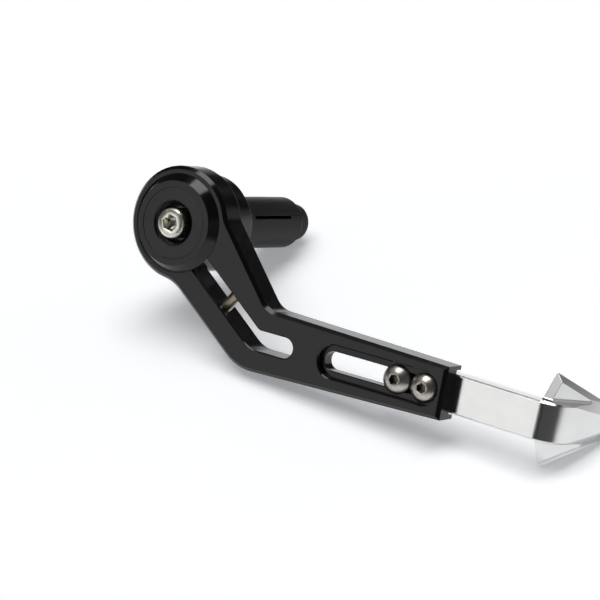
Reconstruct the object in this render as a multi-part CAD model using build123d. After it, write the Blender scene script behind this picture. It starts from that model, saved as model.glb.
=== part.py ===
from build123d import *
from math import cos, degrees, radians, sin, tan
import os

# Brake lever guard for the end of a motorcycle handlebar. All sizes are in mm.
# The origin lies on the plug axis, in the seat that the handlebar's end rests against.
# X runs along the second leg, Y runs into the handlebar, Z is up in the arm's plane.
# Depths along Y are drawn from the arm's outer face, and save moves them to the seat.

# Fits between pieces: running parts, threads, screw shanks, the cone and the keys in the slits
RUN_GAP = 0.05
THREAD_GAP = 0.04
SHANK_GAP = 0.3
CONE_GAP = 0.06
KEY_SIDE_GAP = 0.08

# Arm, outline
ARM_T = 9.1
HEAD_R = 18.85
EDGE_CHAMFER = 1.15
BORE_R = 16.3
LOWER_LINE_DIST = 14.5
LOWER_LINE_ANGLE = -36.4
UPPER_LINE_DIST = 16.9
UPPER_LINE_ANGLE = -48.6
LEG_Z = -30.3
LEG_HALF_AT_BEND = 10.85
LEG_HALF_AT_END = 8.55
LEG_WIDE_X = 30.0
LEG_END_X = 107.4
BEND_OUTER_R = 17.0
BEND_INNER_R = 8.0
HEAD_LOWER_FILLET = 14.0
HEAD_UPPER_FILLET = 8.0

# Arm, pinch slot that lets the clamp head close
PINCH_W = 6.7
PINCH_OFFSET = -2.5
PINCH_BEND_R = 6.5
PINCH_END_X = 48.3
PINCH_CHAMFER = 0.4

# Arm, stepped slot and rear channel that guide the tip
RECESS_X0 = 66.9
SLOT_X0 = 65.9
SCREW_PITCH = 10.0
FRONT_SCREW_X = 99.8
RECESS_HALF = 5.35
RECESS_DEPTH = 2.0
SLOT_HALF = 3.1
SLOT_EDGE = 0.25
FLOOR_T = 6.5
CHANNEL_HALF = 7.2
CHANNEL_X0 = 56.5
CHANNEL_CORNER_R = 3.0

# Bar end body, turned in one piece
BODY_R = BORE_R - RUN_GAP
BODY_FRONT_R = 13.95
BODY_PROUD = 2.85
BODY_BACK_Y = 20.0
BODY_BACK_CHAMFER = 0.8
SHOULDER_R = 13.0
SHOULDER_Y = 25.0
SCREW_SEAT_Y = 1.45
COUNTERBORE_R = 6.15
COUNTERBORE_BEVEL = 1.3

# Plain face ring, let into the front of the body
RING_IN_R = 7.5
RING_OUT_R = 11.8
RING_T = 1.2
RING_SUNK = 0.08

# Expander sleeve and cone nut
SLEEVE_R = 8.85
SLEEVE_FOOT_R = 8.6
SLEEVE_FOOT_L = 1.0
SLEEVE_BORE_R = 5.65
SLEEVE_MOUTH_R = 6.9
SLEEVE_L = 40.0
SLEEVE_MOUTH_L = 9.0
SLEEVE_NOSE_L = 1.6
SLEEVE_NOSE_IN = 0.9
SLIT_W = 1.1
SLIT_MOUTH_W = 2.2
SLIT_ANGLE = 23.5
SLIT_ROOT_L = 8.7
SLIT_FLARE_L = 7.5
NUT_R = 6.45
NUT_PROUD = 8.0
NUT_BEVEL = 1.4
KEY_ROOT_R = 4.9
KEY_TOP_R = 8.2
SLEEVE_END_Y = SHOULDER_Y + SLEEVE_L
SLEEVE_MOUTH_Y = SLEEVE_END_Y - SLEEVE_MOUTH_L
SLIT_FLARE_Y = SLEEVE_END_Y - SLIT_FLARE_L
NUT_END_Y = SLEEVE_END_Y + NUT_PROUD

# M6 centre screw, which ends inside the cone nut
M6_R = 3.0
M6_HEAD_R = 5.0
M6_HEAD_H = 6.0
M6_AF = 5.0
M6_SOCKET = 3.3
M6_SHORT = 1.55
M6_L = NUT_END_Y - M6_SHORT - SCREW_SEAT_Y

# M5 button screws of the tip
M5_R = 2.5
M5_HEAD_R = 4.75
M5_HEAD_H = 2.75
M5_RIM = 0.4
M5_CROWN_R = 2.1
M5_AF = 3.0
M5_SOCKET = 1.7
M5_L = 9.6

# M4 pinch screw: its size, its place along the lower line and across it, and its hole
M4_R = 2.0
M4_HEAD_R = 3.5
M4_HEAD_H = 4.0
M4_AF = 3.0
M4_SOCKET = 2.2
M4_L = 18.0
PINCH_SCREW_T = 30.9
PINCH_SCREW_Y = 4.8
PINCH_SEAT = -10.1
PINCH_COUNTERBORE_R = 3.65
PINCH_HOLE_R = 2.6
PINCH_TAP_END = 9.0

# Tip: strap, bend and arrow point, machined in one piece
TIP_DROOP = 1.45
STRAP_T = 5.8
STRAP_HALF = 6.2
STRAP_X0 = 83.0
STRAP_END_R = 2.0
STRAP_EDGE = 0.5
TURN_X = 136.65
TURN_R = 8.0
TURN_ANGLE = 78.7
INNER_CORNER_R = 3.0
BACK_X = 137.2
BACK_Y = 14.6
BACK_ANGLE = 24.7
WING_T = 3.0
WING_ROOT_Y = 11.0
WING_ROOT_R = 1.0
WING_SWEEP_ANGLE = 20.8
WING_HALF = 14.75
WING_POINT_ANGLE = 22.7
WING_FRONT_Y = 13.0
WING_FRONT_HALF = 12.5
SPINE_BEVEL_X = 144.3
SPINE_BEVEL_Y = 11.5
SPINE_BEVEL_LEAN_ANGLE = 5.56
SPINE_BEVEL_SIDE_ANGLE = 28.4

# Construction: how far a cut runs past a face, a size beyond the whole guard, and how near
# two sizes must be to count as the same
PAST = 1.0
FAR = 200.0
SAME = 0.02

FACE = Plane(origin=(0, 0, 0), x_dir=(1, 0, 0), z_dir=(0, -1, 0))


def slab(sketch, y0, y1):
    """A sketch drawn on the outer face, given depth from y0 to y1."""
    return extrude(FACE.offset(-y0) * sketch, amount=-(y1 - y0))


def turned(points):
    """A profile of radius and depth pairs, turned about the plug axis."""
    return revolve(make_face(Polyline(*points, close=True)), Axis.Y)


def direction(angle):
    return cos(radians(angle)), sin(radians(angle))


def crossing(p, angle_p, q, angle_q):
    """The point where two lines, each a point and an angle, meet."""
    px, pz = direction(angle_p)
    qx, qz = direction(angle_q)
    wx, wz = q[0] - p[0], q[1] - p[1]
    along = (wx * qz - wz * qx) / (px * qz - pz * qx)
    return p[0] + px * along, p[1] + pz * along


def offset_foot(distance, angle):
    """Foot of the perpendicular from the plug axis to a line at this distance and angle."""
    dx, dz = direction(angle)
    return -dz * distance, dx * distance


def arm_outline():
    taper = degrees((LEG_HALF_AT_BEND - LEG_HALF_AT_END) / (LEG_END_X - LEG_WIDE_X))
    lower_foot = offset_foot(-LOWER_LINE_DIST, LOWER_LINE_ANGLE)
    upper_foot = offset_foot(UPPER_LINE_DIST, UPPER_LINE_ANGLE)
    end_low = (LEG_END_X, LEG_Z - LEG_HALF_AT_END)
    end_high = (LEG_END_X, LEG_Z + LEG_HALF_AT_END)
    knee_out = crossing(lower_foot, LOWER_LINE_ANGLE, end_low, taper)
    knee_in = crossing(upper_foot, UPPER_LINE_ANGLE, end_high, -taper)
    legs = Polygon(lower_foot, knee_out, end_low, end_high, knee_in, upper_foot, align=None)
    legs = soften(legs, knee_out, BEND_OUTER_R)
    legs = soften(legs, knee_in, BEND_INNER_R)
    outline = Circle(HEAD_R) + legs
    half_low = (HEAD_R ** 2 - LOWER_LINE_DIST ** 2) ** 0.5
    half_high = (HEAD_R ** 2 - UPPER_LINE_DIST ** 2) ** 0.5
    low_x, low_z = direction(LOWER_LINE_ANGLE)
    high_x, high_z = direction(UPPER_LINE_ANGLE)
    neck_low = (lower_foot[0] + low_x * half_low, lower_foot[1] + low_z * half_low)
    neck_high = (upper_foot[0] + high_x * half_high, upper_foot[1] + high_z * half_high)
    outline = soften(outline, neck_low, HEAD_LOWER_FILLET)
    return soften(outline, neck_high, HEAD_UPPER_FILLET)


def soften(sketch, point, radius):
    """Rounds the corner of a sketch that lies at this point."""
    corner = sketch.vertices().sort_by_distance((point[0], point[1], 0))[0]
    return fillet(corner, radius)


def pinch_path():
    start = offset_foot(PINCH_OFFSET, LOWER_LINE_ANGLE)
    knee = crossing(start, LOWER_LINE_ANGLE, (0, LEG_Z), 0)
    return FilletPolyline(start, knee, (PINCH_END_X, LEG_Z), radius=PINCH_BEND_R)


def long_hole(x0, x1, half):
    return Pos((x0 + x1) / 2, LEG_Z) * SlotCenterToCenter(x1 - x0, 2 * half)


def pinch_plane():
    """Frame of the pinch screw: its axis crosses the slot at right angles."""
    dx, dz = direction(LOWER_LINE_ANGLE)
    origin = (dx * PINCH_SCREW_T - dz * PINCH_SEAT, PINCH_SCREW_Y, dz * PINCH_SCREW_T + dx * PINCH_SEAT)
    return Plane(origin=origin, x_dir=(dx, 0, dz), z_dir=(-dz, 0, dx))


def front_edges(part, y=0.0):
    """Edges that lie wholly in the plane of the outer face."""
    return part.edges().filter_by(lambda e: abs(e.bounding_box().min.Y - y) < SAME and
                                  abs(e.bounding_box().max.Y - y) < SAME)


def build_arm():
    arm = slab(arm_outline(), 0, ARM_T)
    arm = chamfer(front_edges(arm), EDGE_CHAMFER)
    arm -= slab(Circle(BORE_R), -PAST, ARM_T + PAST)
    outer = [e.center() for e in front_edges(arm)]
    slot = trace(pinch_path(), line_width=PINCH_W) + Pos(PINCH_END_X, LEG_Z) * Circle(PINCH_W / 2)
    arm -= slab(slot, -PAST, ARM_T + PAST)
    arm -= slab(long_hole(RECESS_X0, FRONT_SCREW_X, RECESS_HALF), -PAST, RECESS_DEPTH)
    fresh = [e for e in front_edges(arm)
             if all((e.center() - c).length > SAME for c in outer) and not on_bore(e)]
    arm = chamfer(fresh, PINCH_CHAMFER)
    arm -= slab(long_hole(SLOT_X0, FRONT_SCREW_X, SLOT_HALF), -PAST, ARM_T + PAST)
    arm = chamfer([e for e in front_edges(arm, RECESS_DEPTH) if on_slot(e)], SLOT_EDGE)
    arm -= rear_channel()
    return arm - pinch_holes()


def on_bore(edge):
    p = edge.position_at(0.5)
    return abs((p.X ** 2 + p.Z ** 2) ** 0.5 - BORE_R) < SAME


def on_slot(edge):
    return abs(abs(edge.position_at(0).Z - LEG_Z) - SLOT_HALF) < SAME


def rear_channel():
    length = LEG_END_X - CHANNEL_X0 + 2 * CHANNEL_CORNER_R
    mid = CHANNEL_X0 + length / 2
    return slab(Pos(mid, LEG_Z) * RectangleRounded(length, 2 * CHANNEL_HALF, CHANNEL_CORNER_R),
                FLOOR_T, ARM_T + PAST)


def pinch_holes():
    head = Cylinder(PINCH_COUNTERBORE_R, HEAD_R, align=(Align.CENTER, Align.CENTER, Align.MAX))
    low_wall = PINCH_OFFSET - PINCH_SEAT
    clear = Cylinder(PINCH_HOLE_R, low_wall, align=(Align.CENTER, Align.CENTER, Align.MIN))
    tapped = Cylinder(M4_R + THREAD_GAP, PINCH_TAP_END - PINCH_SEAT,
                      align=(Align.CENTER, Align.CENTER, Align.MIN))
    return pinch_plane().location * (head + clear + tapped)


def build_body():
    bevel_in = -BODY_PROUD + COUNTERBORE_BEVEL
    seat = -BODY_PROUD + RING_T + RING_SUNK
    return turned([
        (M6_R + SHANK_GAP, SCREW_SEAT_Y), (COUNTERBORE_R, SCREW_SEAT_Y), (COUNTERBORE_R, bevel_in),
        (RING_IN_R, -BODY_PROUD), (RING_IN_R, seat), (RING_OUT_R, seat), (RING_OUT_R, -BODY_PROUD),
        (BODY_FRONT_R, -BODY_PROUD), (BODY_R, 0), (BODY_R, BODY_BACK_Y - BODY_BACK_CHAMFER),
        (BODY_R - BODY_BACK_CHAMFER, BODY_BACK_Y), (SHOULDER_R, BODY_BACK_Y), (SHOULDER_R, SHOULDER_Y),
        (SLEEVE_R + RUN_GAP, SHOULDER_Y), (SLEEVE_R + RUN_GAP, SHOULDER_Y - SLEEVE_FOOT_L),
        (M6_R + SHANK_GAP, SHOULDER_Y - SLEEVE_FOOT_L)])


def build_ring():
    front = -BODY_PROUD + RING_SUNK
    inner, outer = RING_IN_R + RUN_GAP, RING_OUT_R - RUN_GAP
    return turned([(inner, front), (outer, front), (outer, front + RING_T), (inner, front + RING_T)])


def slit_wedge(root_w, mouth_w, inner_r, outer_r, y0, y1):
    """A radial bar about the plug axis whose width grows from y0 to y1."""
    outline = Polygon((-root_w / 2, y0), (root_w / 2, y0), (mouth_w / 2, y1), (-mouth_w / 2, y1),
                      align=None)
    bar = extrude(Plane.XY.offset(inner_r) * outline, amount=outer_r - inner_r)
    return Rot(0, 90 - SLIT_ANGLE, 0) * bar


def build_sleeve():
    foot = SHOULDER_Y - SLEEVE_FOOT_L
    tube = turned([
        (SLEEVE_BORE_R, foot), (SLEEVE_FOOT_R, foot), (SLEEVE_FOOT_R, SHOULDER_Y),
        (SLEEVE_R, SHOULDER_Y), (SLEEVE_R, SLEEVE_END_Y - SLEEVE_NOSE_L),
        (SLEEVE_R - SLEEVE_NOSE_IN, SLEEVE_END_Y), (SLEEVE_MOUTH_R, SLEEVE_END_Y),
        (SLEEVE_BORE_R, SLEEVE_MOUTH_Y)])
    slit = slit_wedge(SLIT_W, SLIT_W, 0, 2 * SLEEVE_R, SHOULDER_Y + SLIT_ROOT_L, SLEEVE_END_Y + PAST)
    flare = slit_wedge(SLIT_W, SLIT_MOUTH_W, 0, 2 * SLEEVE_R, SLIT_FLARE_Y, SLEEVE_END_Y)
    cut = slit + flare
    return tube - cut - Rot(0, 180, 0) * cut


def build_nut():
    grow = (SLEEVE_MOUTH_R - SLEEVE_BORE_R) / SLEEVE_MOUTH_L
    body = turned([
        (M6_R + THREAD_GAP, SLEEVE_MOUTH_Y), (SLEEVE_BORE_R - CONE_GAP, SLEEVE_MOUTH_Y),
        (NUT_R, SLEEVE_MOUTH_Y + (NUT_R + CONE_GAP - SLEEVE_BORE_R) / grow),
        (NUT_R, NUT_END_Y - NUT_BEVEL), (NUT_R - NUT_BEVEL, NUT_END_Y), (M6_R + THREAD_GAP, NUT_END_Y)])
    root, mouth = SLIT_W - 2 * KEY_SIDE_GAP, SLIT_MOUTH_W - 2 * KEY_SIDE_GAP
    key = slit_wedge(root, mouth, KEY_ROOT_R, KEY_TOP_R, SLIT_FLARE_Y, SLEEVE_END_Y)
    return body + key + Rot(0, 180, 0) * key


def cap_screw(radius, head_r, head_h, af, socket, length):
    """Socket head screw along Z, seated at zero with its head below."""
    head = Cylinder(head_r, head_h, align=(Align.CENTER, Align.CENTER, Align.MAX))
    shank = Cylinder(radius, length, align=(Align.CENTER, Align.CENTER, Align.MIN))
    return head + shank - hex_socket(af, -head_h, socket)


def hex_socket(af, top, depth):
    return Pos(0, 0, top) * extrude(RegularPolygon(af / 2, 6, major_radius=False), amount=depth)


def button_screw():
    """Button head screw along Z, seated at zero; two bevels follow the dome of its head."""
    rise = M5_HEAD_H - M5_RIM
    reach = (M5_HEAD_R ** 2 - M5_CROWN_R ** 2 + rise ** 2) / (2 * rise)
    dome_r = (reach ** 2 + M5_CROWN_R ** 2) ** 0.5
    mid_r = (M5_HEAD_R + M5_CROWN_R) / 2
    mid_z = reach - M5_HEAD_H - (dome_r ** 2 - mid_r ** 2) ** 0.5
    profile = Polyline((0, M5_L), (M5_R, M5_L), (M5_R, 0), (M5_HEAD_R, 0), (M5_HEAD_R, -M5_RIM),
                       (mid_r, mid_z), (M5_CROWN_R, -M5_HEAD_H), (0, -M5_HEAD_H), close=True)
    screw = revolve(Plane.XZ * make_face(profile), Axis.Z)
    return screw - hex_socket(M5_AF, -M5_HEAD_H, M5_SOCKET)


def along_y(x, y, z):
    """Frame for a screw that is driven inwards along Y."""
    return Plane(origin=(x, y, z), x_dir=(1, 0, 0), z_dir=(0, 1, 0)).location


def spine_profile():
    """Side view of strap, bend and wedge, drawn in the XY plane."""
    front = FLOOR_T + RUN_GAP
    back = front + STRAP_T
    turn_y = front + TURN_R
    out = radians(90 - TURN_ANGLE)
    leave = (TURN_X + TURN_R * cos(out), turn_y - TURN_R * sin(out))
    half = radians(90 - TURN_ANGLE / 2)
    middle = (TURN_X + TURN_R * cos(half), turn_y - TURN_R * sin(half))
    inner = (back_x(back), back)
    slope = tan(out)
    point_y = leave[1] + (leave[0] - back_x(leave[1])) / (tan(radians(BACK_ANGLE)) - slope)
    point = (back_x(point_y), point_y)
    outline = Line((STRAP_X0, front), (TURN_X, front)) + ThreePointArc((TURN_X, front), middle, leave)
    outline += Line(leave, point) + Line(point, inner) + Line(inner, (STRAP_X0, back))
    outline += Line((STRAP_X0, back), (STRAP_X0, front))
    face = make_face(outline)
    corner = face.vertices().sort_by_distance((inner[0], inner[1], 0))[0]
    return fillet(corner, INNER_CORNER_R)


def back_x(y):
    return BACK_X + tan(radians(BACK_ANGLE)) * (y - BACK_Y)


def build_spine():
    spine = extrude(Plane.XY.offset(-STRAP_HALF) * spine_profile(), amount=2 * STRAP_HALF)
    ends = spine.edges().filter_by(Axis.Y).sort_by(Axis.X)[:2]
    spine = fillet(ends, STRAP_END_R)
    front = [e for e in spine.edges() if long_front_edge(e)]
    return chamfer(front, STRAP_EDGE)


def long_front_edge(edge):
    box = edge.bounding_box()
    flat = abs(abs(box.min.Z) - STRAP_HALF) < SAME and abs(box.max.Z - box.min.Z) < SAME
    strap = abs(box.max.Y - FLOOR_T - RUN_GAP) < SAME
    bend = abs(box.min.Y - FLOOR_T - RUN_GAP) < SAME
    return flat and (strap or bend)


def barb_y():
    return WING_ROOT_Y + tan(radians(WING_SWEEP_ANGLE)) * (WING_HALF - STRAP_HALF)


def build_wings():
    """Both barbs of the arrow, one leaning slab cut to its outline and bevelled."""
    point_y = barb_y() + WING_HALF / tan(radians(WING_POINT_ANGLE))
    end = point_y + PAST
    side = Polygon((back_x(0), 0), (back_x(0) + WING_T, 0), (back_x(end) + WING_T, end),
                   (back_x(end), end), align=None)
    plate = extrude(Plane.XY.offset(-WING_HALF - PAST) * side, amount=2 * (WING_HALF + PAST))
    arrow = Polygon((WING_ROOT_Y, -STRAP_HALF), (barb_y(), -WING_HALF), (point_y, 0),
                    (barb_y(), WING_HALF), (WING_ROOT_Y, STRAP_HALF), align=None)
    plate &= extrude(Plane.YZ * arrow, amount=FAR)
    for side_sign in (1, -1):
        plate -= outside(*edge_bevel(side_sign, point_y))
    return plate


def edge_bevel(side_sign, point_y):
    """Three points of the bevel that runs along one leading edge of the arrow."""
    barb = Vector(back_x(barb_y()), barb_y(), side_sign * WING_HALF)
    point = Vector(back_x(point_y), point_y, 0)
    front = Vector(back_x(WING_FRONT_Y) + WING_T, WING_FRONT_Y, side_sign * WING_FRONT_HALF)
    return barb, point, front


def spine_bevel(side_sign):
    """Three points of the broad bevel that narrows the outer face towards the point."""
    start = Vector(SPINE_BEVEL_X, SPINE_BEVEL_Y, side_sign * STRAP_HALF)
    forward = start + Vector(tan(radians(SPINE_BEVEL_LEAN_ANGLE)), 1, 0)
    inward = start + Vector(tan(radians(SPINE_BEVEL_SIDE_ANGLE)), 0, -side_sign)
    return start, forward, inward


def outside(a, b, c):
    """Block that fills the outer side of the plane through three points."""
    normal = (b - a).cross(c - a)
    if normal.X < 0:
        normal = normal * -1
    plane = Plane(origin=a, x_dir=b - a, z_dir=normal)
    return plane.location * Box(FAR, FAR, FAR, align=(Align.CENTER, Align.CENTER, Align.MIN))


def build_tip():
    tip = build_spine() + build_wings()
    tip = fillet([e for e in tip.edges() if wing_root(e)], WING_ROOT_R)
    for side_sign in (1, -1):
        tip -= outside(*spine_bevel(side_sign))
    for x in (FRONT_SCREW_X - SCREW_PITCH, FRONT_SCREW_X):
        hole = Cylinder(M5_R + THREAD_GAP, FLOOR_T + RUN_GAP + STRAP_T + PAST,
                        align=(Align.CENTER, Align.CENTER, Align.MIN))
        tip -= along_y(x, 0, 0) * hole
    return drooped(tip)


def wing_root(edge):
    """Whether a barb's front or trailing face rises from the strap's side at this edge."""
    ends = [edge.position_at(0), edge.position_at(1)]
    side = all(abs(abs(p.Z) - STRAP_HALF) < SAME for p in ends)
    front = all(abs(p.X - back_x(p.Y) - WING_T) < SAME for p in ends)
    trailing = all(abs(p.Y - WING_ROOT_Y) < SAME for p in ends)
    return side and (front or trailing)


def drooped(part):
    """Turns a piece of the tip by the play that its screws have in the slot."""
    middle = FRONT_SCREW_X - SCREW_PITCH / 2
    return Pos(middle, 0, LEG_Z) * Rot(0, TIP_DROOP, 0) * Pos(-middle, 0, 0) * part


def save(name, part):
    """Writes one piece with the origin in the handlebar's seat."""
    seated = Pos(0, -SHOULDER_Y, 0) * part
    seated.label = name
    export_step(seated, os.path.join("parts", name + ".step"))


os.makedirs("parts", exist_ok=True)

save("arm", build_arm())
save("bar_end_body", build_body())
save("face_ring", build_ring())
save("expander_sleeve", build_sleeve())
save("cone_nut", build_nut())
m6_screw = cap_screw(M6_R, M6_HEAD_R, M6_HEAD_H, M6_AF, M6_SOCKET, M6_L)
save("centre_screw", along_y(0, SCREW_SEAT_Y, 0) * m6_screw)
m4_screw = cap_screw(M4_R, M4_HEAD_R, M4_HEAD_H, M4_AF, M4_SOCKET, M4_L)
save("pinch_screw", pinch_plane().location * m4_screw)
save("tip", build_tip())
seat_y = RECESS_DEPTH - RUN_GAP
save("tip_screw_front", drooped(along_y(FRONT_SCREW_X, seat_y, 0) * button_screw()))
save("tip_screw_rear", drooped(along_y(FRONT_SCREW_X - SCREW_PITCH, seat_y, 0) * button_screw()))
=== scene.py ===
import math

import bmesh
import bpy
from bpy.props import FloatProperty, FloatVectorProperty, IntProperty, PointerProperty
from mathutils import Matrix, Vector


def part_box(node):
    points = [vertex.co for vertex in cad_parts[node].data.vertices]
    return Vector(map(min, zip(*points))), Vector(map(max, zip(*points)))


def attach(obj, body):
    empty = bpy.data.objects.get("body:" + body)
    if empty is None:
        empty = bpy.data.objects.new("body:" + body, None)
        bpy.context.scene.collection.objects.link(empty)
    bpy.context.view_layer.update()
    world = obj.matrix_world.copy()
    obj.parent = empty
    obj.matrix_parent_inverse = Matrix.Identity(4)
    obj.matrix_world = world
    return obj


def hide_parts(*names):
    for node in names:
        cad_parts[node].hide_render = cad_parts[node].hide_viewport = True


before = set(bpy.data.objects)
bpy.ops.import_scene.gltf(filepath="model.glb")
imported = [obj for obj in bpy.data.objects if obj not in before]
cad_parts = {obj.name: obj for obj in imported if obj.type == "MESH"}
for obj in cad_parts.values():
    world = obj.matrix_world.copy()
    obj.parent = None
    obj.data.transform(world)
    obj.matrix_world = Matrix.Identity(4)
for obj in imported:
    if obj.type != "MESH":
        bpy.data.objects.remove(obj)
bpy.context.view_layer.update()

bl_info = {
    "name": "Brake lever guard",
    "version": (1, 0, 0),
    "blender": (4, 5, 0),
    "location": "3D View > Sidebar > Lever guard",
    "description": "Finishes the packed guard: metals, threaded screws, table, lights and camera",
    "category": "Object",
}

MM = 0.001

# Painted shade and dirt in the screws' hollows, the table's paint, and the faintly blue white that
# it shows by itself
SHADE_AND_DIRT = (0.1, 0.078, 0.055)
TABLE_WHITE = (0.9, 0.9, 0.905)
TABLE_GLOW = (0.93, 0.96, 1.0, 1.0)

# Steels: roughness, size of the grain, reach of the painted shade and dirt in hollows
STEELS = {
    "bright_steel": (0.26, 0.25 * MM, 1.6 * MM),
    "brushed_steel": (0.3, 0.18 * MM, 2.6 * MM),
    "plated_steel": (0.28, 0.3 * MM, 0.35 * MM),
}

# Radii of the screws' threads, and where the pinch screw's starts and ends below its head
M4_R = 2.0 * MM
M5_R = 2.5 * MM
M6_R = 3.0 * MM
M4_THREAD_START = 1.2 * MM
M4_LENGTH = 18.0 * MM

# Where the pinch screw's head sits in the arm, and the ways that the screws point
PINCH_SEAT = (0.018878, -0.0202, -0.026466)
PINCH_AXIS = (0.593419, 0.0, 0.804894)
PLUG_AXIS = (0.0, 1.0, 0.0)

# One turn of a thread as shares of its pitch and its depth, and the depth as a share of the pitch
THREAD_PROFILE = ((0.0, 0.0), (0.25, 0.0), (0.5625, 1.0), (0.6875, 1.0))
THREAD_DEPTH = 0.61
# A shank's broken end: how far it goes below the thread's root, in thread depths, and its slope
END_BELOW_ROOT = 0.3
END_SLOPE = 7.0 / 6.0

# Shares of a hex socket's width: its broken rim, the drilled cone's radius, how far below the
# socket's floor the cone's edge and its point lie, and the radius where a dome ends round it
SOCKET_RIM = 0.035
DRILL_RADIUS = 0.47
DRILL_STEP = 0.04
CAP_DRILL_POINT = 0.3
BUTTON_DRILL_POINT = 0.28
SOCKET_LAND = 0.72

# Rounding of a cap head's edges in head radii, steps up a dome, and points round dome and shank
HEAD_EDGE = 0.09
DOME_STEPS = 14
DOME_POINTS = 144
SHANK_POINTS = 48

# Light panels: degrees above the table and right of the camera, height and width in degrees,
# soft edge in degrees, strength
LIGHT_PANELS = (
    (78.0, -150.0, 27.0, 56.0, 3.0, 5.75),
    (12.5, -65.0, 22.0, 18.0, 3.0, 1.36),
    (49.0, -76.0, 14.0, 15.0, 5.0, 0.85),
    (60.0, -151.0, 13.0, 14.0, 5.0, 0.3),
    (32.0, -108.0, 16.0, 26.0, 8.0, 0.3),
    (14.0, -2.0, 40.0, 60.0, 10.0, 0.05),
    (3.0, 64.0, 26.0, 30.0, 26.0, 0.4),
    (26.0, 118.0, 26.0, 46.0, 8.0, 0.5),
)


# Sizes and colours

class GuardFinishes(bpy.types.PropertyGroup):
    """Colours and roughness of the guard's metals."""
    anodised_black: FloatVectorProperty(
        name="Black anodising", description="Colour of the arm and the bar end body",
        subtype="COLOR", size=3, min=0.0, max=1.0, default=(0.0035, 0.0035, 0.0033))
    anodised_roughness: FloatProperty(
        name="Anodising roughness", description="Satin finish of the black metal",
        min=0.05, max=1.0, default=0.13)
    plug_black: FloatVectorProperty(
        name="Plug black", description="Colour of the sleeve and the cone nut",
        subtype="COLOR", size=3, min=0.0, max=1.0, default=(0.003, 0.003, 0.0032))
    plug_roughness: FloatProperty(
        name="Plug roughness", description="Dull finish of the plug",
        min=0.05, max=1.0, default=0.34)
    strap_silver: FloatVectorProperty(
        name="Tip silver", description="Colour of the strap and the arrow point",
        subtype="COLOR", size=3, min=0.0, max=1.0, default=(0.74, 0.74, 0.732))
    strap_roughness: FloatProperty(
        name="Tip roughness", description="Satin finish of the tip",
        min=0.05, max=1.0, default=0.15)
    stainless: FloatVectorProperty(
        name="Bright steel", description="Colour of the centre screw",
        subtype="COLOR", size=3, min=0.0, max=1.0, default=(0.9, 0.88, 0.79))
    brushed: FloatVectorProperty(
        name="Brushed steel", description="Colour of the tip's two screws",
        subtype="COLOR", size=3, min=0.0, max=1.0, default=(0.47, 0.45, 0.41))
    plated: FloatVectorProperty(
        name="Plated steel", description="Colour of the pinch screw",
        subtype="COLOR", size=3, min=0.0, max=1.0, default=(0.78, 0.72, 0.6))
    edge_round: FloatProperty(
        name="Edge rounding", description="How far a sharp edge looks broken",
        unit="LENGTH", min=0.0, max=0.001, default=0.00018)


class ScrewSizes(bpy.types.PropertyGroup):
    """Heads, sockets, threads and knurls of the guard's screws."""
    m4_pitch: FloatProperty(
        name="M4 pitch", description="Thread pitch of the pinch screw",
        unit="LENGTH", default=0.0007)
    m4_head_radius: FloatProperty(
        name="M4 head radius", description="Radius of the pinch screw's head",
        unit="LENGTH", default=0.0035)
    m4_head_height: FloatProperty(
        name="M4 head height", description="Height of the pinch screw's head",
        unit="LENGTH", default=0.004)
    m4_socket: FloatProperty(
        name="M4 socket", description="Width across flats of the pinch screw's socket",
        unit="LENGTH", default=0.003)
    m4_socket_depth: FloatProperty(
        name="M4 socket depth", description="Depth of the pinch screw's socket",
        unit="LENGTH", default=0.0022)
    m5_pitch: FloatProperty(
        name="M5 pitch", description="Thread pitch of the tip's screws",
        unit="LENGTH", default=0.0008)
    m5_length: FloatProperty(
        name="M5 length", description="Length of the tip's screws below their heads",
        unit="LENGTH", default=0.0096)
    m5_thread_start: FloatProperty(
        name="M5 thread start", description="Where the tip screws' threads start below their heads",
        unit="LENGTH", default=0.0006)
    m5_head_height: FloatProperty(
        name="M5 head height", description="Height of the tip screws' domed heads",
        unit="LENGTH", default=0.00275)
    m5_head_rim: FloatProperty(
        name="M5 head rim", description="Height of the straight rim below the dome",
        unit="LENGTH", default=0.0004)
    m5_socket: FloatProperty(
        name="M5 socket", description="Width across flats of the tip screws' sockets",
        unit="LENGTH", default=0.003)
    m5_socket_depth: FloatProperty(
        name="M5 socket depth", description="Depth of the tip screws' sockets",
        unit="LENGTH", default=0.0017)
    m6_pitch: FloatProperty(
        name="M6 pitch", description="Thread pitch of the centre screw",
        unit="LENGTH", default=0.001)
    m6_thread: FloatProperty(
        name="M6 thread length", description="Length of the centre screw that is threaded",
        unit="LENGTH", default=0.024)
    m6_head_share: FloatProperty(
        name="M6 head height", description="Height of the centre screw's head in head radii",
        default=1.2)
    m6_socket: FloatProperty(
        name="M6 socket", description="Width across flats of the centre screw's socket",
        unit="LENGTH", default=0.005)
    m6_socket_depth: FloatProperty(
        name="M6 socket depth", description="Depth of the centre screw's socket",
        unit="LENGTH", default=0.0033)
    knurl_depth: FloatProperty(
        name="Knurl depth", description="Depth of the grooves round the centre screw's head",
        unit="LENGTH", default=0.00014)
    small_knurl_share: FloatProperty(
        name="Small knurl", description="Depth of the pinch screw's grooves beside those",
        min=0.0, max=1.0, default=0.8)
    knurls: IntProperty(
        name="Knurls", description="Grooves round a cap screw's head", min=12, max=72, default=36)


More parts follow.
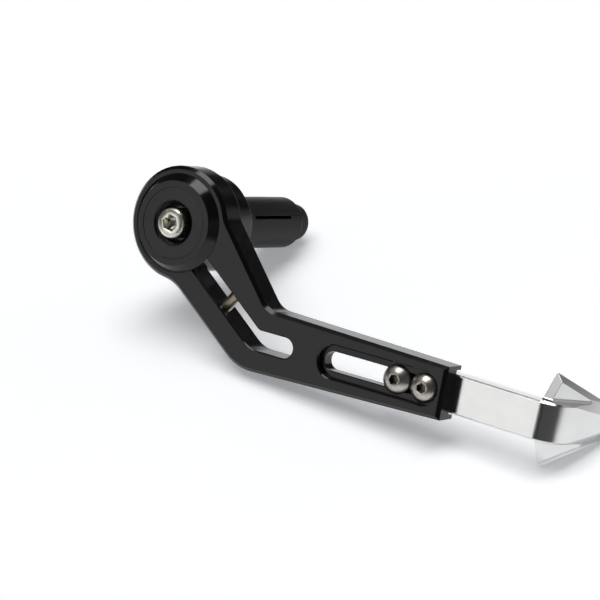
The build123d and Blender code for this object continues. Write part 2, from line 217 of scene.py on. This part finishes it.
class StageSizes(bpy.types.PropertyGroup):
    """Camera, floor and lights."""
    camera_at: FloatVectorProperty(
        name="Camera position", description="Where the camera stands",
        subtype="XYZ", unit="LENGTH", size=3, default=(0.43896, -0.67885, 0.09896))
    camera_turn: FloatVectorProperty(
        name="Camera rotation", description="How the camera is turned",
        subtype="EULER", unit="ROTATION", size=3,
        default=(math.radians(81.4171), math.radians(-10.3625), math.radians(32.2259)))
    camera_lens: FloatProperty(
        name="Lens", description="Focal length on a 36 mm frame, in mm", min=1.0, default=145.0)
    floor_up: FloatVectorProperty(
        name="Floor direction", description="Upward direction of the table that the guard lies on",
        subtype="DIRECTION", size=3, default=(0.079, -0.445, 0.892))
    floor_at: FloatVectorProperty(
        name="Floor contact", description="Point of the guard that touches the table",
        subtype="XYZ", unit="LENGTH", size=3, default=(0.0347, -0.0162, -0.0408))
    floor_size: FloatProperty(
        name="Floor size", description="Width of the table", unit="LENGTH", default=6.0)
    floor_lift: FloatProperty(
        name="Floor lift",
        description="White that the table shows by itself, to the camera and to metals near it",
        min=0.0, max=1.0, default=0.3)
    sheet_reach: FloatProperty(
        name="White sheet", description="How far the table's white sheet reaches round the guard",
        unit="LENGTH", default=0.1)
    sheet_end: FloatProperty(
        name="Sheet end", description="Where the sheet has turned into the grey table",
        unit="LENGTH", default=0.5)
    sheet_grey: FloatProperty(
        name="Grey table",
        description="Colour of the table beyond the sheet, as the metals mirror it",
        min=0.0, max=1.0, default=0.4)
    studio_dark: FloatProperty(
        name="Dark studio", description="Brightness of the studio outside the light panels",
        min=0.0, default=0.04)


# Shader helpers

def make_node(tree, kind, **settings):
    """Adds a shader node; settings are its own fields."""
    node = tree.nodes.new(kind)
    for key, value in settings.items():
        setattr(node, key, value)
    return node


def set_inputs(node, **values):
    """Sets a node's inputs by name, with _ for a space; returns the node."""
    for key, value in values.items():
        node.inputs[key.replace("_", " ")].default_value = value
    return node


def calculate(tree, operation, first, second):
    """Joins two values, each a socket or a number, by one sum."""
    node = make_node(tree, "ShaderNodeMath", operation=operation)
    for socket, value in zip(node.inputs, (first, second)):
        if isinstance(value, (int, float)):
            socket.default_value = value
        else:
            tree.links.new(value, socket)
    return node.outputs[0]


def metal(name, colour, roughness, metallic, specular=0.5):
    """A new material; returns it with its tree and its surface shader."""
    mat = bpy.data.materials.new(name)
    mat.use_nodes = True
    mat.diffuse_color = (*colour, 1.0)
    tree = mat.node_tree
    shader = tree.nodes["Principled BSDF"]
    set_inputs(shader, Base_Color=(*colour, 1.0), Roughness=roughness, Metallic=metallic,
               Specular_IOR_Level=specular)
    return mat, tree, shader


def place(tree, stretch=(1.0, 1.0, 1.0)):
    """Coordinates in the guard's own frame, stretched along its axes."""
    coords = make_node(tree, "ShaderNodeTexCoord")
    mapping = make_node(tree, "ShaderNodeMapping")
    mapping.inputs["Scale"].default_value = stretch
    tree.links.new(coords.outputs["Object"], mapping.inputs["Vector"])
    return mapping.outputs["Vector"]


def grain(tree, size, detail=2.0, stretch=(1.0, 1.0, 1.0)):
    """Noise whose features are about this size, in metres."""
    noise = set_inputs(make_node(tree, "ShaderNodeTexNoise"), Scale=1.0 / size, Detail=detail)
    tree.links.new(place(tree, stretch), noise.inputs["Vector"])
    return noise.outputs["Fac"]


def spread(tree, value, low, high, start=0.3, end=0.7):
    """Maps the range from start to end, by default a noise's, to the range from low to high."""
    ranged = set_inputs(make_node(tree, "ShaderNodeMapRange"), From_Min=start, From_Max=end,
                        To_Min=low, To_Max=high)
    tree.links.new(value, ranged.inputs["Value"])
    return ranged.outputs["Result"]


def tint(tree, value, dark, light):
    """Mixes two colours, each a socket or three numbers, by a value from 0 to 1."""
    mix = make_node(tree, "ShaderNodeMix", data_type="RGBA")
    for socket, colour in ((mix.inputs[6], dark), (mix.inputs[7], light)):
        if isinstance(colour, tuple):
            socket.default_value = (*colour, 1.0)
        else:
            tree.links.new(colour, socket)
    tree.links.new(value, mix.inputs[0])
    return mix.outputs[2]


def shade(colour, factor):
    """The colour, made darker or lighter."""
    return tuple(min(1.0, c * factor) for c in colour)


def clouds(tree, base, size, detail, dark, light):
    """The base colour, drifting between two shades of it in clouds of this size."""
    cloud = spread(tree, grain(tree, size, detail), 0.0, 1.0)
    return tint(tree, cloud, shade(base, dark), shade(base, light))


def relief(tree, shader, height, depth, strength, edge=0.0):
    """Bump of this depth in metres, over edges that look broken by edge."""
    bump = set_inputs(make_node(tree, "ShaderNodeBump"), Strength=strength, Distance=depth)
    tree.links.new(height, bump.inputs["Height"])
    if edge > 0.0:
        rounding = set_inputs(make_node(tree, "ShaderNodeBevel", samples=6), Radius=edge)
        tree.links.new(rounding.outputs["Normal"], bump.inputs["Normal"])
    tree.links.new(bump.outputs["Normal"], shader.inputs["Normal"])


# Finishes

def anodised_black(finish):
    """Satin black anodising over milled and blasted aluminium."""
    base, rough = finish.anodised_black, finish.anodised_roughness
    mat, tree, shader = metal("anodised_black", base, rough, metallic=0.0, specular=0.36)
    colour = clouds(tree, base, size=14 * MM, detail=4.0, dark=0.8, light=1.25)
    tree.links.new(colour, shader.inputs["Base Color"])
    worn = spread(tree, grain(tree, 3 * MM, detail=6.0), rough - 0.02, rough + 0.04)
    tree.links.new(worn, shader.inputs["Roughness"])
    blasted = grain(tree, 0.25 * MM, detail=3.0)
    relief(tree, shader, blasted, depth=0.001 * MM, strength=0.3, edge=finish.edge_round)
    return mat


def turned_black(finish):
    """The same black on the face ring, a little duller, with fine rings left by turning."""
    rough = finish.anodised_roughness + 0.08
    mat, tree, shader = metal("turned_black", finish.anodised_black, rough, metallic=0.0,
                              specular=0.45)
    coords = make_node(tree, "ShaderNodeTexCoord")
    waves = make_node(tree, "ShaderNodeTexWave", wave_type="RINGS", rings_direction="Y")
    set_inputs(waves, Scale=1500.0, Distortion=0.6, Detail=2.0)
    tree.links.new(coords.outputs["Object"], waves.inputs["Vector"])
    relief(tree, shader, waves.outputs["Fac"], depth=0.006 * MM, strength=0.5,
           edge=finish.edge_round)
    base = shade(finish.anodised_black, 1.25)
    colour = clouds(tree, base, size=5 * MM, detail=4.0, dark=0.85, light=1.2)
    tree.links.new(colour, shader.inputs["Base Color"])
    return mat


def dull_black(finish):
    """Dull black of the plug, with turning marks round it and a fine grain."""
    base, rough = finish.plug_black, finish.plug_roughness
    mat, tree, shader = metal("dull_black", base, rough, metallic=0.0, specular=0.13)
    marks = grain(tree, 1.6 * MM, stretch=(0.05, 6.0, 0.05))
    dots = grain(tree, 0.22 * MM, detail=3.0)
    dots_share = 0.55
    both = make_node(tree, "ShaderNodeMix", data_type="FLOAT")
    both.inputs[0].default_value = dots_share
    tree.links.new(marks, both.inputs[2])
    tree.links.new(dots, both.inputs[3])
    relief(tree, shader, both.outputs[0], depth=0.014 * MM, strength=0.5, edge=finish.edge_round)
    colour = clouds(tree, base, size=2.5 * MM, detail=5.0, dark=0.7, light=1.5)
    tree.links.new(colour, shader.inputs["Base Color"])
    tree.links.new(spread(tree, dots, rough - 0.06, rough + 0.1), shader.inputs["Roughness"])
    return mat


def satin_silver(finish):
    """Satin silver anodising on the tip, with a faint grain along the strap."""
    base, rough = finish.strap_silver, finish.strap_roughness
    mat, tree, shader = metal("satin_silver", base, rough, metallic=1.0)
    colour = clouds(tree, base, size=9 * MM, detail=4.0, dark=0.965, light=1.02)
    tree.links.new(colour, shader.inputs["Base Color"])
    fine = grain(tree, 0.5 * MM, detail=3.0, stretch=(0.12, 1.0, 1.0))
    tree.links.new(spread(tree, fine, rough - 0.02, rough + 0.03), shader.inputs["Roughness"])
    relief(tree, shader, fine, depth=0.0004 * MM, strength=0.3, edge=finish.edge_round)
    return mat


def steel(name, base):
    """One of the steels: cloudy spots, a fine grain, and brown dirt with painted shade in its
    hollows.
    """
    rough, grain_size, hollow_size = STEELS[name]
    mat, tree, shader = metal(name, base, rough, metallic=1.0)
    clean_and_lit = clouds(tree, base, size=1.5 * MM, detail=5.0, dark=0.86, light=1.08)
    # Painted shade and dirt: ambient occlusion turns the colour dark brown in sockets, thread roots
    # and other hollows
    hollow = make_node(tree, "ShaderNodeAmbientOcclusion", samples=8, only_local=True)
    set_inputs(hollow, Distance=hollow_size)
    unshaded_share = spread(tree, hollow.outputs["AO"], 0.0, 1.0, start=0.5, end=0.92)
    tree.links.new(tint(tree, unshaded_share, SHADE_AND_DIRT, clean_and_lit), shader.inputs["Base Color"])
    fine = grain(tree, grain_size, detail=4.0)
    tree.links.new(spread(tree, fine, rough - 0.05, rough + 0.08), shader.inputs["Roughness"])
    relief(tree, shader, fine, depth=0.003 * MM, strength=0.3)
    return mat


def finish_node(name, mat):
    """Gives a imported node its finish."""
    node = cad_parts[name]
    if not node.material_slots:
        node.data.materials.append(mat)
    for slot in node.material_slots:
        slot.material = mat


# Screws, drawn along +Z from the seat of the head

class ScrewMesh:
    """Collects rings of points round Z and skins them."""

    def __init__(self, segments):
        self.segments = segments
        self.mesh = bmesh.new()

    def ring(self, radius, z):
        """One ring of points; radius is a number or a function of the angle."""
        points = []
        for i in range(self.segments):
            angle = math.tau * i / self.segments
            r = radius(angle) if callable(radius) else radius
            points.append(self.mesh.verts.new((r * math.cos(angle), r * math.sin(angle), z)))
        return points

    def skin(self, rings):
        """Closes the space between each ring and the next with faces."""
        for low, high in zip(rings, rings[1:]):
            for i in range(self.segments):
                j = (i + 1) % self.segments
                self.mesh.faces.new((low[i], low[j], high[j], high[i]))

    def cap(self, ring, z):
        """Closes a ring with a fan to a point on the axis."""
        tip = self.mesh.verts.new((0.0, 0.0, z))
        for i in range(self.segments):
            self.mesh.faces.new((ring[i], ring[(i + 1) % self.segments], tip))

    def finish(self, name, sharp_angle=32.0):
        """Turns the collected faces into an object with soft shading between sharp edges."""
        bmesh.ops.remove_doubles(self.mesh, verts=self.mesh.verts, dist=0.002 * MM)
        bmesh.ops.recalc_face_normals(self.mesh, faces=self.mesh.faces)
        for edge in self.mesh.edges:
            if len(edge.link_faces) == 2:
                edge.smooth = edge.calc_face_angle(0.0) < math.radians(sharp_angle)
        for face in self.mesh.faces:
            face.smooth = True
        data = bpy.data.meshes.new(name)
        self.mesh.to_mesh(data)
        self.mesh.free()
        obj = bpy.data.objects.new(name, data)
        bpy.context.scene.collection.objects.link(obj)
        return obj


def hexagon(across_flats):
    """Radius of a hexagon as a function of the angle, with a corner at zero."""
    inner = across_flats / 2

    def radius(angle):
        sector = math.tau / 6
        return inner / math.cos(angle % sector - sector / 2)
    return radius


def knurled(radius, depth, count):
    """Radius of a head with rounded grooves along it."""
    def groove(angle):
        wave = 0.5 + 0.5 * math.cos(angle * count)
        return radius - depth * (1.0 - wave) ** 2
    return groove


def socket_rings(head, across_flats, top, depth):
    """Rings of a hex socket with a broken rim, from the head's face down to the drill point."""
    rim = across_flats * SOCKET_RIM
    floor = top + depth
    return [head.ring(hexagon(across_flats + 2 * rim), top),
            head.ring(hexagon(across_flats), top + rim),
            head.ring(hexagon(across_flats), floor),
            head.ring(across_flats * DRILL_RADIUS, floor + across_flats * DRILL_STEP)]


def end_radius(root, crest):
    """Radius of a threaded shank's flat end."""
    return root - END_BELOW_ROOT * (crest - root)


def thread_rings(shank, root, crest, pitch, start, end):
    """Skin of a helical thread from start to end, with a run-out and a broken end."""
    turns = int((end - start) / pitch) + 2
    flat_end = end_radius(root, crest)
    columns = []
    for i in range(shank.segments + 1):
        around = i / shank.segments
        angle = math.tau * around
        column = []
        for turn in range(-1, turns):
            for share, rise in THREAD_PROFILE:
                z = min(max(start + (turn + share + around) * pitch, start), end)
                run_out = min(1.0, (z - start) / pitch)
                r = root + (crest - root) * rise * run_out
                r = min(r, flat_end + (end - z) * END_SLOPE)
                column.append(shank.mesh.verts.new((r * math.cos(angle), r * math.sin(angle), z)))
        columns.append(column)
    for left, right in zip(columns, columns[1:]):
        for k in range(len(left) - 1):
            shank.mesh.faces.new((left[k], right[k], right[k + 1], left[k + 1]))


def shank_mesh(name, crest, pitch, in_head, thread_start, end):
    """A screw's shank: rooted in the head, plain to thread_start, threaded to its end."""
    root = crest - THREAD_DEPTH * pitch
    shank = ScrewMesh(SHANK_POINTS)
    rings = [shank.ring(crest, -in_head), shank.ring(crest, max(-in_head, thread_start - pitch)),
             shank.ring(root, thread_start)]
    shank.skin(rings)
    shank.cap(rings[0], -in_head)
    thread_rings(shank, root, crest, pitch, thread_start, end)
    shank.cap(shank.ring(end_radius(root, crest), end), end)
    return shank.finish(name, sharp_angle=50.0)


def cap_head_mesh(name, radius, height, across_flats, depth, knurl_depth, knurls):
    """Cylinder head with a knurled side, rounded edges and a hex socket."""
    head = ScrewMesh(knurls * 6)
    side = knurled(radius, knurl_depth, knurls)
    edge = radius * HEAD_EDGE
    rings = [head.ring(radius - edge / 2, 0.0),
             head.ring(radius - 0.1 * MM, -edge / 3),
             head.ring(side, -edge),
             head.ring(side, -height + 1.6 * edge),
             head.ring(radius - knurl_depth - 0.1 * edge, -height + 1.1 * edge),
             head.ring(radius - 0.75 * edge, -height + 0.3 * edge),
             head.ring(radius - 1.25 * edge, -height)]
    rings += socket_rings(head, across_flats, -height, depth)
    head.skin(rings)
    head.cap(rings[0], 0.0)
    head.cap(rings[-1], -height + depth + CAP_DRILL_POINT * across_flats)
    return head.finish(name)


def button_head_mesh(name, radius, height, rim, across_flats, depth):
    """Domed head with a straight rim, a narrow flat round the socket and a hex socket."""
    head = ScrewMesh(DOME_POINTS)
    rise = height - rim
    flat = across_flats * SOCKET_LAND
    under_edge = 0.12 * MM
    dome = (radius ** 2 + rise ** 2) / (2 * rise)
    rings = [head.ring(radius - under_edge, 0.0), head.ring(radius, -under_edge),
             head.ring(radius, -rim)]
    for k in range(1, DOME_STEPS + 1):
        r = radius + (flat - radius) * k / DOME_STEPS
        rings.append(head.ring(r, -height + dome - math.sqrt(dome ** 2 - r ** 2)))
    top = -height + dome - math.sqrt(dome ** 2 - flat ** 2)
    rings += socket_rings(head, across_flats, top + 0.03 * MM, depth)
    head.skin(rings)
    head.cap(rings[0], 0.0)
    head.cap(rings[-1], top + depth + BUTTON_DRILL_POINT * across_flats)
    return head.finish(name)


def seat_screw(pieces, name, node, body, mat, seat, axis, turn):
    """Joins a screw's head and shank, puts it on its seat and lets it stand for its node."""
    for other in bpy.context.selected_objects:
        other.select_set(False)
    for piece in pieces:
        piece.select_set(True)
    bpy.context.view_layer.objects.active = pieces[0]
    bpy.ops.object.join()
    screw = pieces[0]
    screw.name = name
    screw.data.name = name
    screw.select_set(False)
    way = Vector(axis).normalized().to_track_quat("Z", "Y").to_matrix().to_4x4()
    screw.data.transform(Matrix.Translation(seat) @ way @ Matrix.Rotation(turn, 4, "Z"))
    screw.data.materials.clear()
    screw.data.materials.append(mat)
    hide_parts(node)
    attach(screw, body)


# Operators

class GUARD_OT_black_parts(bpy.types.Operator):
    """Finish the arm, the bar end body, the face ring and the plug"""
    bl_idname = "guard.black_parts"
    bl_label = "Black parts"

    def execute(self, context):
        finish = context.scene.guard_finishes
        black = anodised_black(finish)
        finish_node("arm", black)
        finish_node("bar_end_body", black)
        finish_node("face_ring", turned_black(finish))
        dull = dull_black(finish)
        finish_node("expander_sleeve", dull)
        finish_node("cone_nut", dull)
        return {"FINISHED"}


class GUARD_OT_tip(bpy.types.Operator):
    """Finish the strap with its arrow point"""
    bl_idname = "guard.tip"
    bl_label = "Tip"

    def execute(self, context):
        finish_node("tip", satin_silver(context.scene.guard_finishes))
        return {"FINISHED"}


class GUARD_OT_centre_screw(bpy.types.Operator):
    """Build the cap screw in the middle of the plug"""
    bl_idname = "guard.centre_screw"
    bl_label = "Centre screw"

    def execute(self, context):
        sizes = context.scene.guard_screws
        low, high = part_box("centre_screw")
        head_r = (high[0] - low[0]) / 2
        seat = low[1] + head_r * sizes.m6_head_share
        length = high[1] - seat
        head = cap_head_mesh("centre_head", head_r, seat - low[1], sizes.m6_socket,
                             sizes.m6_socket_depth, sizes.knurl_depth, sizes.knurls)
        shank = shank_mesh("centre_shank", M6_R, sizes.m6_pitch, in_head=1.0 * MM,
                           thread_start=length - sizes.m6_thread, end=length)
        mat = steel("bright_steel", context.scene.guard_finishes.stainless)
        seat_screw([head, shank], "centre_cap_screw", "centre_screw", "bar_end", mat,
                   seat=(0.0, seat, 0.0), axis=PLUG_AXIS, turn=math.radians(12))
        return {"FINISHED"}


class GUARD_OT_pinch_screw(bpy.types.Operator):
    """Build the threaded screw that crosses the clamp's slot"""
    bl_idname = "guard.pinch_screw"
    bl_label = "Pinch screw"

    def execute(self, context):
        sizes = context.scene.guard_screws
        head = cap_head_mesh("pinch_head", sizes.m4_head_radius, sizes.m4_head_height,
                             sizes.m4_socket, sizes.m4_socket_depth,
                             sizes.knurl_depth * sizes.small_knurl_share, sizes.knurls)
        shank = shank_mesh("pinch_shank", M4_R, sizes.m4_pitch, in_head=0.5 * MM,
                           thread_start=M4_THREAD_START, end=M4_LENGTH)
        mat = steel("plated_steel", context.scene.guard_finishes.plated)
        seat_screw([head, shank], "pinch_cap_screw", "pinch_screw", "guard_arm",
                   mat, seat=PINCH_SEAT, axis=PINCH_AXIS, turn=0.0)
        return {"FINISHED"}


class GUARD_OT_tip_screws(bpy.types.Operator):
    """Build the two domed screws that hold the tip in the arm's slot"""
    bl_idname = "guard.tip_screws"
    bl_label = "Tip screws"

    def execute(self, context):
        sizes = context.scene.guard_screws
        length = sizes.m5_length
        mat = steel("brushed_steel", context.scene.guard_finishes.brushed)
        for node, turn in (("tip_screw_front", 20), ("tip_screw_rear", -8)):
            low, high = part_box(node)
            seat = ((low[0] + high[0]) / 2, high[1] - length, (low[2] + high[2]) / 2)
            head = button_head_mesh(node + "_head", (high[2] - low[2]) / 2, sizes.m5_head_height,
                                    sizes.m5_head_rim, sizes.m5_socket, sizes.m5_socket_depth)
            shank = shank_mesh(node + "_shank", M5_R, sizes.m5_pitch, in_head=0.5 * MM,
                               thread_start=sizes.m5_thread_start, end=length)
            seat_screw([head, shank], node.replace("tip_screw", "button_screw"), node,
                       "guard_tip", mat, seat, PLUG_AXIS, math.radians(turn))
        return {"FINISHED"}


class GUARD_OT_stage(bpy.types.Operator):
    """Build the table, the lights and the camera"""
    bl_idname = "guard.stage"
    bl_label = "Stage"

    def execute(self, context):
        stage = context.scene.guard_stage
        make_floor(stage)
        make_world(context.scene, stage)
        make_camera(context.scene, stage)
        context.scene.view_settings.view_transform = "Standard"
        return {"FINISHED"}


# Stage

def make_floor(stage):
    """A pale table, seen from above only, so that it never hides the guard's underside."""
    up = Vector(stage.floor_up).normalized()
    turn = up.to_track_quat("Z", "Y").to_matrix().to_4x4()
    bpy.ops.mesh.primitive_plane_add(size=stage.floor_size)
    floor = bpy.context.object
    floor.name = "table"
    floor.matrix_world = Matrix.Translation(Vector(stage.floor_at)) @ turn
    floor.data.materials.append(table_white(stage))


def sheet_fade(tree, stage, from_camera):
    """Zero on the white sheet, one on the grey table beyond it, and always zero to the camera."""
    coords = make_node(tree, "ShaderNodeTexCoord")
    distance = make_node(tree, "ShaderNodeVectorMath", operation="LENGTH")
    tree.links.new(coords.outputs["Object"], distance.inputs[0])
    beyond = make_node(tree, "ShaderNodeMapRange", interpolation_type="SMOOTHSTEP")
    set_inputs(beyond, From_Min=stage.sheet_reach, From_Max=stage.sheet_end)
    tree.links.new(distance.outputs["Value"], beyond.inputs["Value"])
    return calculate(tree, "MULTIPLY", beyond.outputs["Result"],
                     calculate(tree, "SUBTRACT", 1.0, from_camera))


def table_white(stage):
    """White paint with a white of its own, grey further out where only the metals show it."""
    mat = bpy.data.materials.new("table_white")
    mat.use_nodes = True
    tree = mat.node_tree
    tree.nodes.clear()
    links = tree.links
    path = make_node(tree, "ShaderNodeLightPath")
    grey = sheet_fade(tree, stage, path.outputs["Is Camera Ray"])

    paint = make_node(tree, "ShaderNodeBsdfDiffuse")
    far_grey = shade(TABLE_WHITE, stage.sheet_grey)
    links.new(tint(tree, grey, TABLE_WHITE, far_grey), paint.inputs["Color"])

    seen = path.outputs["Is Camera Ray"]
    for kind in ("Is Glossy Ray", "Is Transmission Ray"):
        seen = calculate(tree, "MAXIMUM", seen, path.outputs[kind])
    seen_near = calculate(tree, "MULTIPLY", seen, calculate(tree, "SUBTRACT", 1.0, grey))
    glow = set_inputs(make_node(tree, "ShaderNodeEmission"), Color=TABLE_GLOW)
    links.new(calculate(tree, "MULTIPLY", seen_near, stage.floor_lift), glow.inputs["Strength"])

    top = make_node(tree, "ShaderNodeAddShader")
    links.new(paint.outputs[0], top.inputs[0])
    links.new(glow.outputs[0], top.inputs[1])
    sided = make_node(tree, "ShaderNodeMixShader")
    links.new(make_node(tree, "ShaderNodeNewGeometry").outputs["Backfacing"], sided.inputs[0])
    links.new(top.outputs[0], sided.inputs[1])
    links.new(make_node(tree, "ShaderNodeBsdfTransparent").outputs[0], sided.inputs[2])
    links.new(sided.outputs[0], make_node(tree, "ShaderNodeOutputMaterial").inputs[0])
    return mat


def window(tree, value, low, high, soft):
    """One between low and high, falling to zero over soft on both sides."""
    rise = make_node(tree, "ShaderNodeMapRange", interpolation_type="SMOOTHSTEP")
    set_inputs(rise, From_Min=low - soft, From_Max=low)
    fall = make_node(tree, "ShaderNodeMapRange", interpolation_type="SMOOTHSTEP")
    set_inputs(fall, From_Min=high, From_Max=high + soft, To_Min=1.0, To_Max=0.0)
    for end in (rise, fall):
        tree.links.new(value, end.inputs["Value"])
    return calculate(tree, "MULTIPLY", rise.outputs["Result"], fall.outputs["Result"])


def along(tree, direction, axis):
    """How far a direction points along an axis."""
    dot = make_node(tree, "ShaderNodeVectorMath", operation="DOT_PRODUCT")
    dot.inputs[1].default_value = axis
    tree.links.new(direction, dot.inputs[0])
    return dot.outputs["Value"]


def light_panel(tree, direction, table, panel):
    """A soft-edged light in the sky, square to its middle direction.

    Heights and sides are degrees above the table and degrees to the right of the camera."""
    height, side, tall, wide, soft, strength = panel
    up, front, right = table
    out = math.cos(math.radians(height))
    middle = (up * math.sin(math.radians(height)) + front * out * math.cos(math.radians(side))
              + right * out * math.sin(math.radians(side)))
    across = up.cross(middle).normalized()
    upward = middle.cross(across)
    # Directions behind the panel get a tiny depth, which carries them far outside its edges
    depth = calculate(tree, "MAXIMUM", along(tree, direction, middle), 0.001)
    soft_edge = math.tan(math.radians(soft))
    result = strength
    for axis, size in ((across, wide), (upward, tall)):
        place_on = calculate(tree, "DIVIDE", along(tree, direction, axis), depth)
        half = math.tan(math.radians(size / 2))
        result = calculate(tree, "MULTIPLY", window(tree, place_on, -half, half, soft_edge), result)
    return result


def table_axes(stage):
    """Upward, towards the camera and to the camera's right, all square to each other."""
    up = Vector(stage.floor_up).normalized()
    towards = Vector(stage.camera_at) - Vector(stage.floor_at)
    front = (towards - up * towards.dot(up)).normalized()
    return up, front, up.cross(front)


def make_world(scene, stage):
    """A dark studio with light panels, and a white background for the camera."""
    world = bpy.data.worlds.new("studio")
    scene.world = world
    world.use_nodes = True
    tree = world.node_tree
    tree.nodes.clear()
    coords = make_node(tree, "ShaderNodeTexCoord")
    direction = coords.outputs["Generated"]
    table = table_axes(stage)
    total = stage.studio_dark
    for panel in LIGHT_PANELS:
        total = calculate(tree, "ADD", total, light_panel(tree, direction, table, panel))
    studio = make_node(tree, "ShaderNodeBackground")
    tree.links.new(total, studio.inputs["Strength"])
    white = set_inputs(make_node(tree, "ShaderNodeBackground"), Color=(1, 1, 1, 1), Strength=1.0)
    path = make_node(tree, "ShaderNodeLightPath")
    mix = make_node(tree, "ShaderNodeMixShader")
    out = make_node(tree, "ShaderNodeOutputWorld")
    tree.links.new(path.outputs["Is Camera Ray"], mix.inputs[0])
    tree.links.new(studio.outputs[0], mix.inputs[1])
    tree.links.new(white.outputs[0], mix.inputs[2])
    tree.links.new(mix.outputs[0], out.inputs[0])


def make_camera(scene, stage):
    """The camera, at the photograph's viewing angle."""
    data = bpy.data.cameras.new("camera")
    data.lens = stage.camera_lens
    data.sensor_width = 36.0
    data.clip_start = 10 * MM
    camera = bpy.data.objects.new("camera", data)
    camera.location = stage.camera_at
    camera.rotation_euler = stage.camera_turn
    scene.collection.objects.link(camera)
    scene.camera = camera


# Panel and registration

class GUARD_PT_panel(bpy.types.Panel):
    """Lists the guard's steps and sizes"""
    bl_idname = "GUARD_PT_panel"
    bl_label = "Lever guard"
    bl_space_type = "VIEW_3D"
    bl_region_type = "UI"
    bl_category = "Lever guard"

    def draw(self, context):
        scene = context.scene
        for step in STEPS:
            self.layout.operator(step.bl_idname)
        for group in (scene.guard_finishes, scene.guard_screws, scene.guard_stage):
            box = self.layout.box()
            for key in group.bl_rna.properties.keys():
                if key not in ("rna_type", "name"):
                    box.prop(group, key)


STEPS = (GUARD_OT_black_parts, GUARD_OT_tip, GUARD_OT_centre_screw, GUARD_OT_pinch_screw,
         GUARD_OT_tip_screws, GUARD_OT_stage)
CLASSES = (GuardFinishes, ScrewSizes, StageSizes, *STEPS, GUARD_PT_panel)


def register():
    for cls in CLASSES:
        bpy.utils.register_class(cls)
    bpy.types.Scene.guard_finishes = PointerProperty(type=GuardFinishes)
    bpy.types.Scene.guard_screws = PointerProperty(type=ScrewSizes)
    bpy.types.Scene.guard_stage = PointerProperty(type=StageSizes)


def unregister():
    del bpy.types.Scene.guard_stage
    del bpy.types.Scene.guard_screws
    del bpy.types.Scene.guard_finishes
    for cls in reversed(CLASSES):
        bpy.utils.unregister_class(cls)


def main():
    register()
    for step in STEPS:
        group, name = step.bl_idname.split(".")
        getattr(getattr(bpy.ops, group), name)()


if __name__ == "__main__":
    main()
